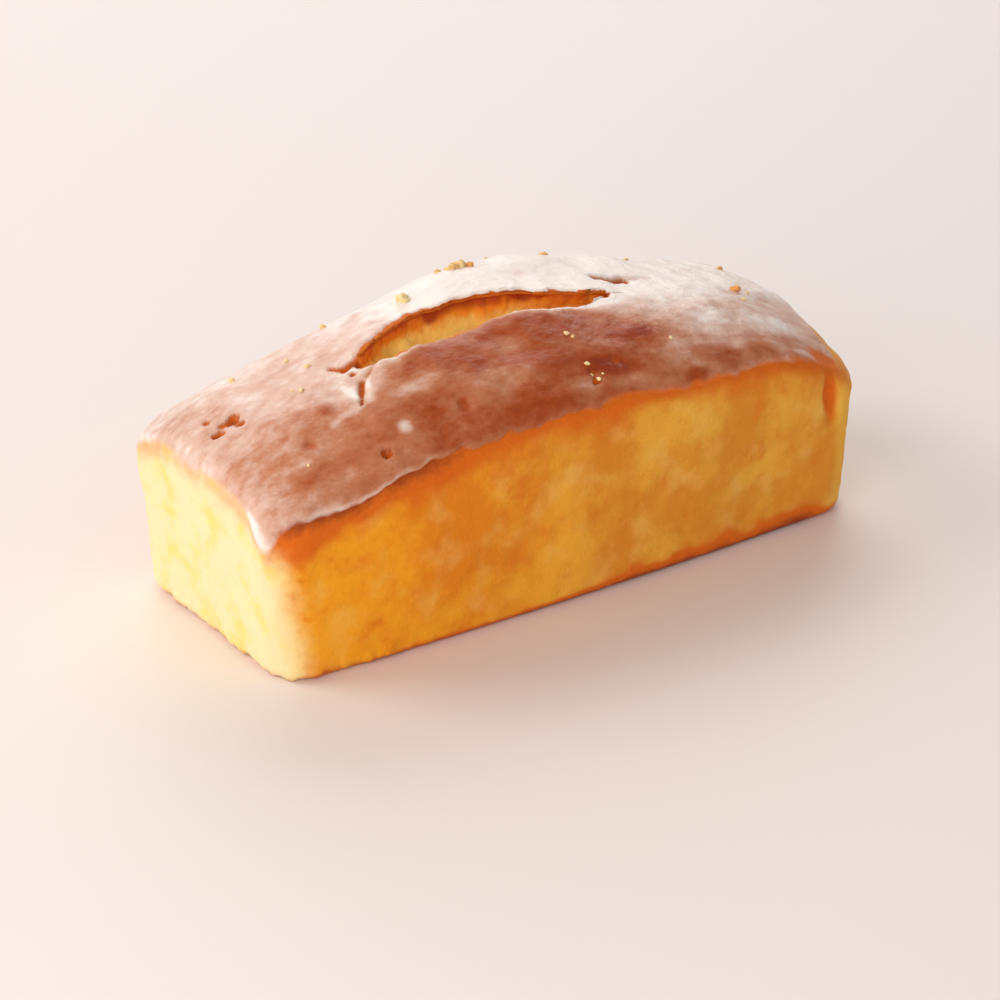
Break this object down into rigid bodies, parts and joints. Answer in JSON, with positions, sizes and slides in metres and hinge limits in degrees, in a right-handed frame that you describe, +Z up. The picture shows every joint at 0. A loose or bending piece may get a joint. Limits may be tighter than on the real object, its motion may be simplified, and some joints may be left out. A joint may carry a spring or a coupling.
{
  "type": "lemon loaf cake",
  "caption": "Whole lemon loaf cake baked in a tin, with flat tapered sides, a risen top that has split along its middle, and a thin translucent sugar icing that ends in an uneven edge.",
  "frame": {"origin": "middle of the loaf's length and width, on the plane that it rests on", "axes": "+X along the loaf, +Y across it, away from the long side that faces the camera in the picture, +Z up"},
  "size_m": [0.1746, 0.0787, 0.0699],
  "materials": {
    "cake": "baked sponge, pale yellow on the ends and golden on the long sides, with an orange brown crust along the shoulder and the bottom edge",
    "icing": "thin translucent sugar icing, glossy, whitish where it is thick and pinkish brown where the crust shows through"
  },
  "bodies": {
    "root": {"loaf": "cake", "icing": "icing"}
  },
  "joints": []
}
